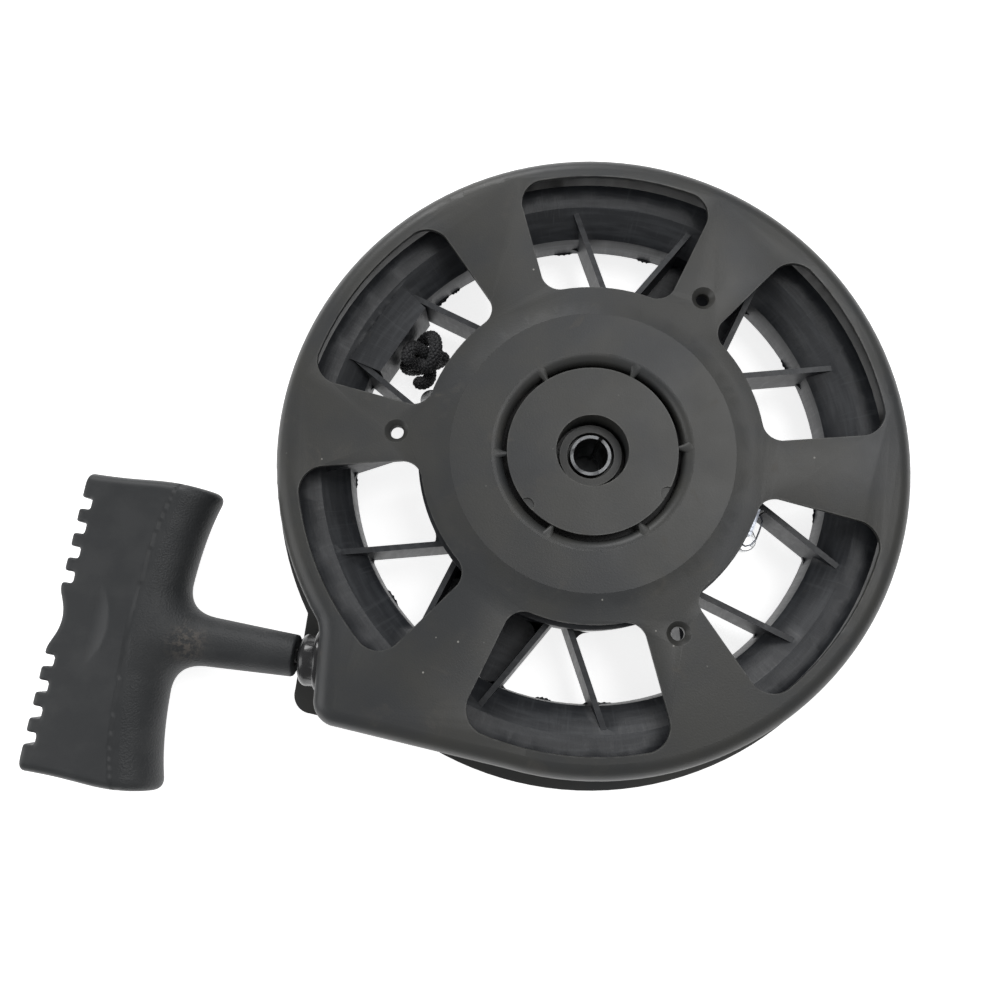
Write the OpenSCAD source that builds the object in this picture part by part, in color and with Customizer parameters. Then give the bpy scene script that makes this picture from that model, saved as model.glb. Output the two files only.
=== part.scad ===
// Recoil starter: a stamped cover, a spring-wound rope pulley with two starter dogs, and a T-handle.
// Millimetres. The pulley axis is Z, the open engine side is down and the rim stands on z = 0.

/* [Housing] */
// Outer radius of the skirt
skirt_r = 112.4; // [111:0.2:114]
// Height from the rim to the spoke face
housing_h = 42; // [41.5:0.1:43]
// Thickness of the sheet
sheet_t = 1.6; // [1.4:0.1:1.8]
// Outside radius of the shoulder between face and skirt
shoulder_r = 6; // [4:0.5:7]
// Width of the flat lip turned out around the rim
lip_w = 8; // [6:0.5:9]
// Outer radius of the six windows
window_outer_r = 104; // [102:0.5:105]
// Inner radius of the six windows
window_inner_r = 60.6; // [60:0.2:62]
// Height of the raised middle over the spoke face
centre_rise = 1.2; // [0.8:0.1:1.4]

/* [Centre] */
// Radius of the visible centre disc
disc_r = 30; // [29:0.2:30.2]
// Radius of the arbor that the rewind spring winds on
arbor_r = 17; // [16.5:0.1:17.2]
// Radius of the journal that the pulley turns on
journal_r = 14.2; // [13.8:0.1:14.4]
// Outer radius of the slotted spring pin
pin_r = 7.5; // [7:0.1:7.6]

/* [Pulley] */
// Outer radius of the spring cup
hub_r = 62; // [61:0.2:63]
// Inner radius of the dished ring
ring_r = 88.4; // [88:0.1:88.8]
// Outer radius of the upper flange
flange_r = 106; // [104:0.5:107]
// Number of rib pairs
rib_pairs = 8; // [6:1:8]
// Thickness of a rib
rib_t = 2; // [1.4:0.1:2.4]

/* [Rope] */
// Diameter of the rope
rope_d = 4.8; // [4:0.1:4.8]

/* [Dogs] */
// Angle that a dog swings out, in degrees
dog_swing = 15; // [12:0.5:15]
// Angle that the retainer turns to swing the dogs out, in degrees
retainer_swing = 20; // [18:0.5:22]

/* [Handle] */
// Length of the grip
grip_len = 107; // [102:0.5:111]
// Thickness of the grip
grip_t = 26; // [24:0.5:28]
// Distance from the end of the neck to the back of the grip
handle_reach = 85.3; // [84:0.1:87]

/* [Hidden] */
$fn = 96;

eps = 0.5;
steel_black = [0.20, 0.20, 0.20];
plastic_black = [0.13, 0.13, 0.14];
zinc = [0.68, 0.69, 0.70];
spring_steel = [0.42, 0.44, 0.48];
rope_black = [0.06, 0.06, 0.07];

// Windows: straight sides that leave the spokes wider outside than inside
window_first = 27;
window_mid_r = 83;
window_mid_half = 31.6;
window_slope = 0.37;
window_outer_fillet = 9;
window_inner_fillet = 7;

// Spout for the rope: a straight side tangent to the skirt, a corner and an end wall
side_normal = 260;
wall_x = -91.5;
corner_r = 9;
hollow_r = 12;
fill_reach = 30;
crossing = 0.1;
lip_start = [-104, -59];
lip_side_w = 1.5;
lip_reach = 15;
lip_corner_r = 7;
lip_corner_x = wall_x - lip_reach + lip_corner_r;
lip_corner_c = [lip_corner_x,
    (skirt_r + lip_side_w - lip_corner_r - cos(side_normal) * lip_corner_x) / sin(side_normal)];
corner_c = [wall_x + corner_r,
    (skirt_r - crossing - corner_r - cos(side_normal) * (wall_x + corner_r)) / sin(side_normal)];
side_len = corner_c[0] * cos(side_normal - 90) + corner_c[1] * sin(side_normal - 90);
hollow_c = [wall_x - hollow_r, -sqrt((skirt_r + hollow_r - crossing) ^ 2 - (wall_x - hollow_r) ^ 2)];

// Centre of the cover
step_out_r = 56;
step_in_r = 50;
roll_r = 4;
roll_centre_r = 35.6;
centre_top = housing_h + centre_rise;
crimp_count = 6;
crimp_first = 4.7;
crimp_r = 1;
crimp_drop = 2.6;
shear_marks = [223, 332];
shear_r = 2.4;

// Cover screw holes, each in a dimple
screw_pcd_r = 69.4;
screw_first = 57;
screw_hole_r = 2.4;
dimple_r = 4.25;
dimple_depth = 1.8;
collar_r = 4;
collar_h = 3;

// Mounting ears
ear_pcd_r = 104;
ear_first = 10;
ear_hole_r = 3.3;
ear_half_w = 8;
ear_t = 2;
ear_tab_h = 10;

// Centre stack
cup_r = 12.7;
cup_floor = 34;
sleeve_r = 11.2;
sleeve_h = 6;
pin_gap_r = 8.4;
arbor_end = 20;
leg_end = 5.2;
bushing_r = 16.5;
running = 0.05;
backing_r = 44;
backing_z = 35.2;
backing_t = 1.4;
nut_r = 13;
nut_wall = 1;
nut_z = [0.9, 1.7];
pin_wall = 1.4;
pin_foot = 0.6;
pin_slit_a = 62;
pin_slit_w = 1.2;

// Pulley levels
cup_top = 34;
floor_z = 13;
floor_t = 2.8;
lid_z = 32.4;
lid_in_r = 26;
lid_hole_pcd_r = 48;
lid_hole_r = 4;
boss_r = 21;
boss_z = 7.9;
boss_shoulder = 17;
boss_neck_r = 17.5;
boss_top = 18.6;
cup_wall = 2.5;
anchor_a = 345;
anchor_w = 2;
dish_z = 22.4;
crease_r = 98;
crease_z = 29.6;
flange_z = 31.4;
flange_t = 1.6;
groove_floor = [11.6, 21.6];
groove_r = ring_r + 1.6;
lower_flange_r = 104;
rib_outer_r = 96.2;
rib_half = 13.2;
rib_cant = 16;
rib_z = 12;
rib_draft_in = 1.2;
rib_draft_out = 0.2;
rib_top = 28.4;
rib_first = 82;
rib_offset = rib_outer_r * sin(rib_cant);
rib_reach = rib_outer_r * cos(rib_cant);
bay_step = 360 / 8;
knot_bay = rib_first + 1.5 * bay_step;
web_t = 1.6;
web_half_in = 19.05;
web_half_out = 10.6;
pad_half_a = 10.2;
pad_in_r = 84;
web_bay = rib_first - 0.5 * bay_step;

// Rope
rope_r = rope_d / 2;
rope_hole_r = rope_r + 0.6;
rope_wind_r = groove_r + rope_r;
rope_z = 19.8;
coil_z = 14.4;
knot_r = 65.5;
knot_z = 18.4;
coil_layers = 2;
eyelet_y = -77.8;
lead_foot_a = atan2(eyelet_y, wall_x) + 360 + acos(rope_wind_r / norm([wall_x, eyelet_y]));
lead_foot = rope_wind_r * [cos(lead_foot_a), sin(lead_foot_a)];
eyelet_reach = 9.3;
eyelet_bore_r = 3.9;
port_r = 8;
barb_r = 9.8;
flange_in_r = 10;
flange_edge_r = 1.5;
mouth_r = 6.4;
mouth_edge_r = 3;
handle_a = 174;
neck_end = [-102.6, -76.6];

// Dogs and retainer
dog_pivot = 50 * [cos(13), sin(13)];
dog_tip = 68 * [cos(-25), sin(-25)];
dog_peg = [43.8, -2.9];
dog_z = [6, 10.4];
dog_eye_r = 8.5;
dog_knee_r = 6;
dog_nose_r = 4.2;
post_r = 4;
post_end = 5.4;
peg_r = 2;
wire_r = 0.3;
wire_coil_r = 5.1;
wire_turns = 1.7;
wire_steps = 34;
wire_rise = 1.2;
slot_gap = 0.8;
slot_steps = 10;
retainer_r = 53;
retainer_z = [3.2, 4.8];
retainer_hub_r = 14;
retainer_hub_z = 2;
retainer_windows = [60, 130, 240, 310];
retainer_window_pcd_r = 32;
retainer_window_r = 8;

// Handle
neck_r = 7.55;
neck_root_r = 9.1;
tooth_pitch = 8.95;
tooth_first = 14.9;
notch_w = 4.1;
notch_depth = 4.2;
pocket_s = 68;
pocket_r = 8;
grip_s = 42;
flare_s = 31;
thumb_r = 14;

function polar(r, a) = [r * cos(a), r * sin(a)];
function turned(p, c, a) = c + [(p - c)[0] * cos(a) - (p - c)[1] * sin(a),
    (p - c)[0] * sin(a) + (p - c)[1] * cos(a)];

// ---- shared shapes ----

module ring(r_out, r_in, z0, z1) {
    translate([0, 0, z0]) difference() {
        cylinder(r = r_out, h = z1 - z0);
        translate([0, 0, -eps]) cylinder(r = r_in, h = z1 - z0 + 2 * eps);
    }
}

// A round tube through the points, closed by flat ends
module tube(points, r, sides = 10) {
    count = len(points);
    tangents = [for (i = [0 : count - 1])
        let (d = points[min(i + 1, count - 1)] - points[max(i - 1, 0)]) d / norm(d)];
    rings = [for (i = [0 : count - 1])
        let (t = tangents[i], side_raw = cross(abs(t[2]) > 0.9 ? [1, 0, 0] : [0, 0, 1], t),
             side = side_raw / norm(side_raw), up = cross(t, side))
        for (k = [0 : sides - 1]) points[i] + r * (side * cos(360 * k / sides) + up * sin(360 * k / sides))];
    walls = [for (i = [0 : count - 2]) for (k = [0 : sides - 1]) let (a = i * sides + k,
        b = i * sides + (k + 1) % sides) each [[a, b, b + sides], [a, b + sides, a + sides]]];
    start = [for (k = [0 : sides - 1]) sides - 1 - k];
    end = [for (k = [0 : sides - 1]) (count - 1) * sides + k];
    polyhedron(rings, concat(walls, [start, end]));
}

// ---- housing ----

// Half section of a filled shape that reaches out to the wall, less the inset, with a rounded shoulder
module wall_section(reach, inset, top, round_r) {
    core = reach - inset - round_r;
    square([core, top]);
    translate([core - eps, 0]) square([round_r + eps, top - round_r]);
    if (round_r > 0) translate([core, top - round_r]) intersection() {
        circle(round_r);
        translate([-eps, -eps]) square([2 * round_r, 2 * round_r]);
    }
}

// The hollow side of the same section, from the far reach in to the wall
module hollow_section(inset, top, round_r) {
    translate([2 * hollow_r + fill_reach, 0]) mirror([1, 0])
        wall_section(hollow_r + fill_reach, inset, top, round_r);
}

// The plan of the cover swept as a solid: round skirt, straight side, corner, end wall and hollow.
// Each stands a hair proud of the next, so that their walls cross at a clear angle
module swept(inset, top, round_r) {
    rotate_extrude($fn = 180) wall_section(skirt_r, inset, top, round_r);
    rotate([0, 0, side_normal]) rotate([90, 0, 0]) linear_extrude(side_len)
        wall_section(skirt_r - crossing, inset, top, round_r);
    translate([corner_c[0], corner_c[1], 0]) rotate_extrude()
        wall_section(corner_r + crossing / 2, inset, top, round_r);
    translate([wall_x + fill_reach, corner_c[1], 0]) rotate([0, 0, 180]) rotate([90, 0, 0])
        linear_extrude(hollow_c[1] - corner_c[1]) wall_section(fill_reach, inset, top, round_r);
    translate([hollow_c[0], hollow_c[1], 0])
        rotate_extrude(angle = atan2(hollow_c[1], hollow_c[0]) + 180) hollow_section(inset, top, round_r);
}

// Outline of the lip: a ring round the skirt, wide under the eyelet and trimmed along the straight side
module lip_plan() {
    outward = polar(1, side_normal);
    along = polar(1, side_normal + 90);
    corner = lip_corner_c + lip_corner_r * outward;
    circle(skirt_r + lip_w, $fn = 180);
    translate(lip_corner_c) circle(lip_corner_r + crossing / 2);
    polygon([lip_start, [lip_corner_c[0] - lip_corner_r, lip_corner_c[1]], corner,
        corner + side_len * along, [0, 0]]);
}

module window_plan() {
    stretch = norm([1, window_slope]);
    side_gap = (window_mid_half - window_mid_r * window_slope) / stretch;
    along = [1, window_slope] / stretch;
    outward = [-window_slope, 1] / stretch;
    outer_c = (side_gap - window_outer_fillet) * outward + along
        * sqrt((window_outer_r - window_outer_fillet) ^ 2 - (side_gap - window_outer_fillet) ^ 2);
    inner_c = (side_gap - window_inner_fillet) * outward + along
        * sqrt((window_inner_r + window_inner_fillet) ^ 2 - (side_gap - window_inner_fillet) ^ 2);
    outer_corner = side_gap * outward + along * sqrt(window_outer_r ^ 2 - side_gap ^ 2);
    inner_corner = side_gap * outward + along * sqrt(window_inner_r ^ 2 - side_gap ^ 2);
    difference() {
        intersection() {
            difference() {
                circle(window_outer_r);
                circle(window_inner_r);
            }
            polygon([for (s = [1, -1]) for (d = s > 0 ? [20, 130] : [130, 20])
                let (p = side_gap * outward + along * d) [p[0], s * p[1]]]);
        }
        for (s = [0, 1]) mirror([0, s]) {
            difference() {
                polygon([outer_c, outer_c + window_outer_fillet * outward, 1.02 * outer_corner
                    + 2 * outward, 1.02 * window_outer_r * outer_c / norm(outer_c)]);
                translate(outer_c) circle(window_outer_fillet + crossing / 2);
            }
            difference() {
                polygon([inner_c, inner_c + window_inner_fillet * outward, 0.97 * inner_corner
                    + 2 * outward, 0.97 * window_inner_r * inner_c / norm(inner_c)]);
                translate(inner_c) circle(window_inner_fillet + crossing / 2);
            }
        }
    }
}

// The raised middle with its edge rolled down around the centre disc
module centre_section() {
    polygon([[step_out_r + 1, housing_h - sheet_t], [step_out_r + 1, housing_h],
        [step_out_r, housing_h], [step_in_r, centre_top], [roll_centre_r, centre_top],
        [roll_centre_r, centre_top - sheet_t], [step_in_r, centre_top - sheet_t],
        [step_out_r, housing_h - sheet_t]]);
    intersection() {
        translate([roll_centre_r, centre_top - roll_r]) difference() {
            circle(roll_r);
            circle(roll_r - sheet_t);
        }
        translate([0, centre_top - roll_r]) square([roll_centre_r, roll_r]);
    }
}

module housing_shell() {
    color(steel_black) difference() {
        union() {
            difference() {
                swept(0, housing_h, shoulder_r);
                translate([0, 0, -eps]) swept(sheet_t, housing_h - sheet_t + eps, shoulder_r - sheet_t);
                cylinder(r = step_out_r + 0.5, h = housing_h + 5);
            }
            difference() {
                linear_extrude(sheet_t) lip_plan();
                translate([0, 0, -eps]) swept(sheet_t, sheet_t + 2 * eps, 0);
            }
            rotate_extrude() centre_section();
            for (k = [0 : 2]) rotate([0, 0, screw_first + 120 * k])
                translate([screw_pcd_r, 0, housing_h - sheet_t - collar_h])
                    cylinder(r = collar_r, h = collar_h + sheet_t / 2, $fn = 48);
            for (k = [0 : crimp_count - 1]) rotate([0, 0, crimp_first + 360 / crimp_count * k])
                translate([disc_r + 0.15, 0, centre_top - crimp_drop]) rotate([0, 90, 0])
                    cylinder(r = crimp_r, h = 4, $fn = 32);
        }
        for (k = [0 : 5]) rotate([0, 0, window_first + 60 * k])
            translate([0, 0, housing_h - 4]) linear_extrude(10) window_plan();
        for (k = [0 : 2]) rotate([0, 0, screw_first + 120 * k]) translate([screw_pcd_r, 0, 0]) {
            translate([0, 0, housing_h - 8]) cylinder(r = screw_hole_r, h = 10, $fn = 48);
            translate([0, 0, housing_h - dimple_depth])
                cylinder(r1 = screw_hole_r, r2 = dimple_r, h = dimple_depth + 0.01, $fn = 48);
        }
        translate([wall_x - 5, eyelet_y, rope_z]) rotate([0, 90, 0]) cylinder(r = port_r, h = 12);
    }
}

module mounting_ears() {
    inner_r = skirt_r - sheet_t;
    color(steel_black) for (k = [0 : 3]) rotate([0, 0, ear_first + 90 * k]) {
        difference() {
            intersection() {
                union() {
                    translate([ear_pcd_r, 0, 0]) cylinder(r = ear_half_w, h = ear_t);
                    translate([ear_pcd_r, -ear_half_w, 0]) cube([20, 2 * ear_half_w, ear_tab_h]);
                }
                union() {
                    cylinder(r = inner_r, h = ear_t, $fn = 180);
                    ring(inner_r, inner_r - sheet_t, 0, ear_tab_h, $fn = 180);
                }
            }
            translate([ear_pcd_r, 0, -eps]) cylinder(r = ear_hole_r, h = ear_t + 2 * eps, $fn = 48);
        }
    }
}

// ---- centre ----

module centre_leg() {
    color(steel_black) difference() {
        union() {
            translate([0, 0, centre_top - 2]) cylinder(r = disc_r, h = sheet_t, $fn = 128);
            translate([0, 0, arbor_end]) cylinder(r = arbor_r, h = centre_top - 2 - arbor_end);
            translate([0, 0, leg_end]) cylinder(r = journal_r, h = arbor_end - leg_end);
        }
        translate([0, 0, cup_floor]) cylinder(r = cup_r, h = 20);
        ring(cup_r, sleeve_r, cup_floor - sleeve_h, cup_floor + eps);
        translate([0, 0, cup_floor - 4]) cylinder(r = pin_gap_r, h = 5);
        translate([0, 0, 0]) cylinder(r = pin_r, h = cup_floor);
        // shear marks at the edge of the disc
        for (a = shear_marks) translate([disc_r * cos(a), disc_r * sin(a), centre_top - 1.2])
            cylinder(r = shear_r, h = 2, $fn = 32);
    }
}

module centre_backing_plate() {
    color(steel_black) ring(backing_r, arbor_r, backing_z, backing_z + backing_t);
}

module spring_pin() {
    color(spring_steel) difference() {
        ring(pin_r, pin_r - pin_wall, pin_foot, cup_floor + 0.4);
        rotate([0, 0, pin_slit_a]) translate([0, -pin_slit_w / 2, 0]) cube([20, pin_slit_w, 60]);
    }
}

// A push-on cap: a sprung rim and a closed cup over the end of the pin
module push_nut() {
    color(zinc) {
        ring(nut_r, pin_r, nut_z[0], nut_z[1]);
        difference() {
            cylinder(r = pin_r + nut_wall, h = nut_z[1]);
            translate([0, 0, nut_wall / 2]) cylinder(r = pin_r, h = nut_z[1]);
        }
    }
}

module upper_thrust_washer() {
    color(zinc) ring(boss_neck_r, journal_r + 0.3, boss_top + 0.35, arbor_end - 0.1);
}

module lower_thrust_washer() {
    color(zinc) ring(boss_r + 1, journal_r + 0.3, boss_z - 1, boss_z - 0.2);
}

// ---- rope way ----

// The solid that a stopper knot fills, with the rope's run out of it along its axis
module knot(r, length, reach) {
    bulge = length / 4;
    rotate_extrude() {
        square([rope_r, reach]);
        for (k = [0.5, 1.5, 2.5, 3.5]) intersection() {
            translate([r - bulge * 0.7, k * bulge]) circle(bulge * 0.7, $fn = 32);
            square([r, length]);
        }
        translate([0, bulge * 0.15]) square([r - bulge * 0.45, length - bulge * 0.3]);
    }
}

// A collar with a flange against the wall, a rounded mouth and a barb inside the sheet
module rope_eyelet() {
    inner_h = sheet_t + 2.2;
    color(plastic_black) translate([wall_x, eyelet_y, rope_z]) rotate([0, -90, 0])
        rotate_extrude() difference() {
            union() {
                square([flange_in_r, 2 * flange_edge_r + 0.4]);
                square([flange_in_r + flange_edge_r, flange_edge_r + 0.4]);
                translate([flange_in_r, flange_edge_r + 0.4]) circle(flange_edge_r, $fn = 32);
                square([mouth_r, eyelet_reach]);
                square([mouth_r + mouth_edge_r, eyelet_reach - mouth_edge_r]);
                translate([mouth_r, eyelet_reach - mouth_edge_r]) circle(mouth_edge_r, $fn = 48);
                translate([0, -inner_h]) square([port_r - 0.1, inner_h + 0.1]);
                translate([0, -inner_h]) square([barb_r, inner_h - sheet_t - 0.05]);
            }
            translate([-1, -10]) square([eyelet_bore_r + 1, 30]);
        }
}

module rope_lead() {
    inner = [lead_foot[0], lead_foot[1], rope_z];
    mouth = [wall_x, eyelet_y, rope_z];
    tip = mouth + (eyelet_reach + 0.5) * [cos(handle_a), sin(handle_a), 0];
    color(rope_black) tube([inner, inner + (mouth - inner) * 0.5, mouth - (mouth - inner) * 0.06,
        mouth + [-3, 0.35, 0], tip], rope_r);
}

module rope_tail() {
    color(rope_black) in_handle() translate([0.3, 0, 0]) rotate([0, 90, 0])
        cylinder(r = rope_r, h = pocket_s + 1, $fn = 24);
}

// ---- pulley ----

module ring_section() {
    polygon([[ring_r, groove_floor[0] - 1.6], [ring_r, dish_z], [crease_r, crease_z],
        [flange_r, flange_z], [flange_r, flange_z - flange_t], [crease_r + 0.6, crease_z - 1.55],
        [groove_r, groove_floor[1]], [groove_r, groove_floor[0]],
        [lower_flange_r, groove_floor[0] - 2], [lower_flange_r, groove_floor[0] - 3.6]]);
}

module rib(side) {
    run = rib_reach - sqrt((hub_r - 1) ^ 2 - rib_offset ^ 2);
    sunk = sqrt((ring_r + 0.8) ^ 2 - rib_offset ^ 2) - rib_reach;
    rotate([0, 0, side * rib_half]) translate([rib_outer_r, 0, 0]) rotate([0, 0, side * rib_cant])
        intersection() {
            rotate([90, 0, 0]) translate([0, 0, -rib_t * 2]) linear_extrude(rib_t * 4)
                polygon([[-run, rib_z], [sunk, rib_z], [sunk, dish_z], [0, rib_top - 0.8],
                    [0, rib_top], [-run, rib_top]]);
            translate([-run - eps, 0, 0]) rotate([90, 0, 90]) linear_extrude(run + 2 * eps)
                polygon([[-side * rib_t / 2, rib_top + eps], [side * rib_t / 2, rib_top + eps],
                    [side * (rib_t / 2 + rib_draft_out), rib_z - eps],
                    [-side * (rib_t / 2 + rib_draft_in), rib_z - eps]]);
        }
}

module bay_sector(bay, r_in, r_out, half_in, half_out) {
    polygon([polar(r_in, bay - half_in), polar(r_out, bay - half_out),
        polar(r_out, bay + half_out), polar(r_in, bay + half_in)]);
}

module pulley() {
    color(plastic_black) difference() {
        union() {
            rotate_extrude($fn = 180) ring_section();
            ring(hub_r, hub_r - cup_wall, floor_z, cup_top, $fn = 180);
            ring(hub_r, bushing_r, floor_z, floor_z + floor_t);
            ring(boss_r, bushing_r, boss_z, boss_shoulder);
            ring(boss_neck_r, bushing_r, boss_shoulder - eps, boss_top);
            for (k = [0 : rib_pairs - 1]) rotate([0, 0, rib_first + bay_step * k]) {
                rib(1);
                rib(-1);
            }
            for (bay = [web_bay, web_bay + 180]) translate([0, 0, rib_z + 0.4]) linear_extrude(web_t)
                bay_sector(bay, hub_r - 1, ring_r + 0.8, web_half_in, web_half_out);
            translate([0, 0, groove_floor[0] - 1]) linear_extrude(rib_top + 0.8 - groove_floor[0] + 1)
                bay_sector(knot_bay, pad_in_r, ring_r + 0.8, pad_half_a, pad_half_a);
            translate([0, 0, dish_z]) linear_extrude(rib_top + 0.8 - dish_z)
                bay_sector(knot_bay, ring_r - 2, crease_r - 1.2, pad_half_a, pad_half_a);
            for (a = [0, 180]) rotate([0, 0, a]) translate([dog_pivot[0], dog_pivot[1], post_end])
                cylinder(r = post_r, h = floor_z - post_end + 1, $fn = 48);
        }
        rotate([0, 0, knot_bay]) translate([pad_in_r - 5, 0, knot_z]) rotate([0, 90, 0])
            cylinder(r = rope_hole_r, h = groove_r - pad_in_r + 10, $fn = 32);
        // anchor slot for the outer hook of the rewind spring
        rotate([0, 0, anchor_a]) translate([hub_r - 4, -anchor_w / 2, floor_z + floor_t + 1])
            cube([8, anchor_w, cup_top]);
    }
}

module pulley_bushing() {
    color([0.85, 0.83, 0.76]) ring(bushing_r, journal_r + running, boss_z, boss_top);
}

// A wound strip: one close turn round the arbor, an open stretch, then packed outer turns,
// and a hook that goes out through the slot in the cup and folds back along its wall
function spring_r(t) = t < 1 ? 18.2 + 1.6 * t
    : t < 3.5 ? 19.8 + 23.7 * (t - 1) / 2.5
    : 43.5 + 2.3 * (t - 3.5);

module rewind_spring() {
    strip = 0.35;
    per_turn = 48;
    last = round(per_turn * (9 + anchor_a / 360));
    steps = [for (i = [0 : last]) i / per_turn];
    hook_r = hub_r + 0.4;
    hook_t = 1.2;
    hook_span = 9;
    color(spring_steel) translate([0, 0, 17.4]) linear_extrude(13.6) {
        polygon(concat([for (t = steps) polar(spring_r(t) + strip, 360 * t)],
            [for (i = [len(steps) - 1 : -1 : 0]) polar(spring_r(steps[i]) - strip, 360 * steps[i])]));
        rotate([0, 0, anchor_a]) translate([spring_r(last / per_turn) - 0.3, -strip])
            square([hook_r + hook_t / 2 - spring_r(last / per_turn) + 0.3, 2 * strip]);
        polygon(concat([for (a = [0 : 3 : hook_span]) polar(hook_r, anchor_a + 0.4 - a)],
            [for (a = [hook_span : -3 : 0]) polar(hook_r + hook_t, anchor_a + 0.4 - a)]));
    }
}

module spring_cover() {
    color(zinc) difference() {
        ring(hub_r - cup_wall - 0.3, lid_in_r, lid_z, lid_z + 1);
        for (k = [0 : 2]) rotate([0, 0, 120 * k + 20]) translate([lid_hole_pcd_r, 0, lid_z - 2])
            cylinder(r = lid_hole_r, h = 6, $fn = 32);
    }
}

module rope_coil() {
    coil_out = groove_r + 0.25 + coil_layers * rope_d;
    color(rope_black) rotate_extrude($fn = 180) {
        translate([groove_r + 0.25, coil_z - rope_r]) square([coil_out - groove_r - 0.25 - rope_r, rope_d]);
        translate([coil_out - rope_r, coil_z]) circle(rope_r, $fn = 32);
    }
}

module rope_knot() {
    color(rope_black) rotate([0, 0, knot_bay]) translate([knot_r, 0, knot_z]) rotate([0, 90, 0])
        knot(7, 16.5, groove_r - knot_r);
}

// A wire wound round each dog's post, with one leg to the dog and one to the pulley's floor
module dog_springs() {
    low = dog_z[1] + 0.7;
    path = concat([[wire_coil_r + 4, -13, low], [wire_coil_r + 1.5, -6, low]],
        [for (i = [0 : wire_steps]) let (a = 360 * wire_turns * i / wire_steps)
            [wire_coil_r * cos(a), wire_coil_r * sin(a), low + wire_rise * i / wire_steps]],
        [[-6, -8, low + wire_rise], [-10, -11, low + wire_rise]]);
    color(zinc) for (a = [0, 180]) rotate([0, 0, a])
        translate([dog_pivot[0], dog_pivot[1], 0]) tube(path, wire_r, 8);
}

// ---- dogs and retainer ----

module dog_plan() {
    way = (dog_tip - dog_pivot) / norm(dog_tip - dog_pivot);
    across = [way[1], -way[0]];
    knee = dog_pivot + 20 * way + 2.5 * across;
    hull() {
        translate(dog_pivot) circle(dog_eye_r, $fn = 48);
        translate(knee) circle(dog_knee_r, $fn = 32);
        translate(dog_peg) circle(peg_r + 2.6, $fn = 32);
    }
    hull() {
        translate(knee) circle(dog_knee_r, $fn = 32);
        translate(dog_tip - dog_nose_r * way - across) circle(dog_nose_r, $fn = 32);
    }
}

module dog() {
    color(zinc) difference() {
        union() {
            translate([0, 0, dog_z[0]]) linear_extrude(dog_z[1] - dog_z[0]) dog_plan();
            translate([dog_peg[0], dog_peg[1], 2.6]) cylinder(r = peg_r, h = 4, $fn = 48);
        }
        translate([dog_pivot[0], dog_pivot[1], 0])
            cylinder(r = post_r + running, h = 20, $fn = 48);
    }
}

module starter_dog_a() {
    dog();
}

module starter_dog_b() {
    rotate([0, 0, 180]) dog();
}

module retainer() {
    color(plastic_black) difference() {
        union() {
            translate([0, 0, retainer_z[0]]) cylinder(r = retainer_r, h = retainer_z[1] - retainer_z[0]);
            translate([0, 0, retainer_hub_z])
                cylinder(r = retainer_hub_r, h = retainer_z[1] - retainer_hub_z);
        }
        translate([0, 0, -1]) cylinder(r = pin_r + running, h = 10);
        // cam slots, each the path of a dog's peg as seen from the retainer
        for (side = [0, 180]) for (i = [0 : slot_steps]) let (s = i / slot_steps,
            p = turned(turned(dog_peg, dog_pivot, dog_swing * s), [0, 0], -retainer_swing * s))
            rotate([0, 0, side]) translate([p[0], p[1], 0])
                cylinder(r = peg_r + slot_gap, h = 10, $fn = 48);
        for (a = retainer_windows) rotate([0, 0, a]) translate([retainer_window_pcd_r, 0, 0])
            cylinder(r = retainer_window_r, h = 10, $fn = 48);
    }
}

// A wave washer that drags the retainer
module brake_spring() {
    count = 72;
    waves = 3;
    inner = 15.4;
    outer = 19.6;
    thick = 0.4;
    rings = [for (i = [0 : count - 1]) let (a = 360 * i / count, z = 5.65 + 0.6 * sin(waves * a))
        for (c = [[inner, 0], [outer, 0], [outer, thick], [inner, thick]])
            [c[0] * cos(a), c[0] * sin(a), z + c[1]]];
    color(spring_steel) polyhedron(rings, [for (i = [0 : count - 1]) for (k = [0 : 3])
        [i * 4 + k, i * 4 + (k + 1) % 4, ((i + 1) % count) * 4 + (k + 1) % 4, ((i + 1) % count) * 4 + k]]);
}

// ---- handle ----

module in_handle() {
    translate([neck_end[0], neck_end[1], rope_z]) rotate([0, 0, handle_a]) children();
}

// One half of the grip, thinner towards its edges
module grip_half() {
    half = grip_len / 2;
    back = handle_reach;
    for (level = [[0, 0], [3, 4]]) translate([0, 0, level[0] > 0 ? -grip_t / 2 : -grip_t / 2 + 4])
        linear_extrude(level[0] > 0 ? grip_t : grip_t - 8) offset(delta = -level[0]) hull() {
            translate([grip_s, half - 4]) circle(4, $fn = 24);
            translate([(grip_s + back) / 2 - 8, half - 1]) circle(2, $fn = 24);
            translate([back - 3, half - 3]) circle(3, $fn = 24);
            translate([back - 4, -4]) square([4, 4]);
            translate([grip_s + 1, -4]) square([4, 4]);
        }
}

module handle_grip() {
    color(plastic_black) in_handle() difference() {
        union() {
            hull() grip_half();
            hull() mirror([0, 1, 0]) grip_half();
            rotate([0, 90, 0]) cylinder(r1 = neck_r, r2 = neck_root_r, h = grip_s + 3);
            translate([flare_s, 0, 0]) rotate([0, 90, 0])
                cylinder(r1 = neck_root_r, r2 = grip_t / 2, h = grip_s + 3 - flare_s);
        }
        for (side = [-1, 1]) for (k = [0 : 3])
            translate([handle_reach - notch_depth, side * (tooth_first + tooth_pitch * k) - notch_w / 2,
                -grip_t]) cube([20, notch_w, 2 * grip_t]);
        translate([handle_reach + thumb_r - 3, 0, -grip_t]) cylinder(r = thumb_r, h = 2 * grip_t);
        translate([-1, 0, 0]) rotate([0, 90, 0]) cylinder(r = rope_hole_r, h = handle_reach, $fn = 32);
        translate([pocket_s, 0, 0]) rotate([0, 90, 0]) cylinder(r = pocket_r, h = 30, $fn = 48);
    }
}

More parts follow.
